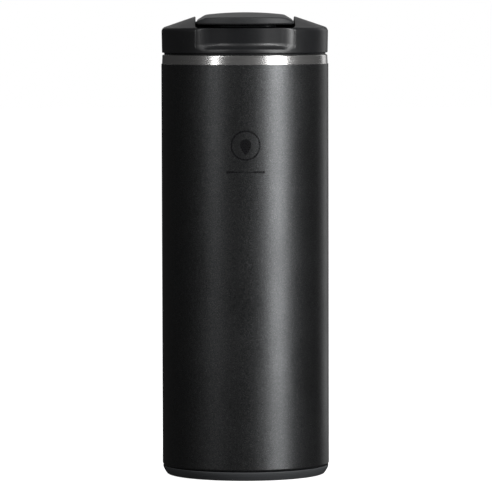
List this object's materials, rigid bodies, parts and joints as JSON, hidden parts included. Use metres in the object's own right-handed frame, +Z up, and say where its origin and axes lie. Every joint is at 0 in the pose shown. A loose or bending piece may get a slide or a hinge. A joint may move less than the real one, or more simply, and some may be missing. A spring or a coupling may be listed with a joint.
{
  "type": "insulated travel mug",
  "caption": "Slim double-walled steel travel mug with a dark powder coat, bare steel band at the mouth, rubber foot and a screw lid with a flip lever.",
  "frame": {"origin": "centre of the face the mug stands on", "axes": "+Z up along the mug's axis; -Y is the front, where the lid's thumb notch and the lever's tab are; +X is the right as seen from the front"},
  "size_m": [0.073, 0.073, 0.202],
  "materials": {
    "coated_steel": "fine-textured near-black powder coat over steel, bare brushed steel above the coat line",
    "bare_steel": "satin spun stainless steel",
    "black_steel": "black-oxide steel rod",
    "copper_foil": "bright copper-coloured radiation foil",
    "getter_metal": "dull grey sintered pill",
    "sealing_glass": "fused dark green sealing glass",
    "adhesive": "pale grey foam adhesive",
    "foot_rubber": "matt charcoal rubber",
    "lid_plastic": "satin black moulded plastic",
    "lever_plastic": "finely textured black moulded plastic",
    "inner_plastic": "satin dark grey moulded plastic",
    "silicone": "smooth dark grey silicone"
  },
  "bodies": {
    "bottle": {"outer_shell": "coated_steel", "inner_liner": "bare_steel", "radiation_foil": "copper_foil", "getter_pill": "getter_metal", "getter_strap": "bare_steel", "bottom_cup": "bare_steel", "seal_pellet": "sealing_glass", "foot_adhesive_ring": "adhesive", "base_foot": "foot_rubber"},
    "lid_carrier": {"lid_gasket": "silicone"},
    "lid": {"lid_cap": "lid_plastic", "lid_plug": "inner_plastic", "plug_cover": "inner_plastic", "hinge_pin_left": "black_steel", "hinge_pin_right": "black_steel"},
    "lever": {"lever_cover": "lever_plastic", "lever_body": "inner_plastic", "stopper_carrier": "inner_plastic", "sip_stopper": "silicone", "vent_stopper": "silicone"}
  },
  "joints": [
    {"name": "lid_lift", "type": "slide", "parent": "bottle", "child": "lid_carrier", "axis": [0, 0, 1], "range_m": [0, 0.03]},
    {"name": "lid_turn", "type": "hinge", "parent": "lid_carrier", "child": "lid", "pos_m": [0, 0, 0.1844], "axis": [0, 0, 1], "range_deg": [0, 1080]},
    {"name": "lever_flip", "type": "hinge", "parent": "lid", "child": "lever", "pos_m": [0, 0.01, 0.1969], "axis": [-1, 0, 0], "range_deg": [0, 110]}
  ],
  "couplings": [
    {"joint": "lid_lift", "follows": "lid_turn", "m_per_rad": 0.0015915}
  ]
}
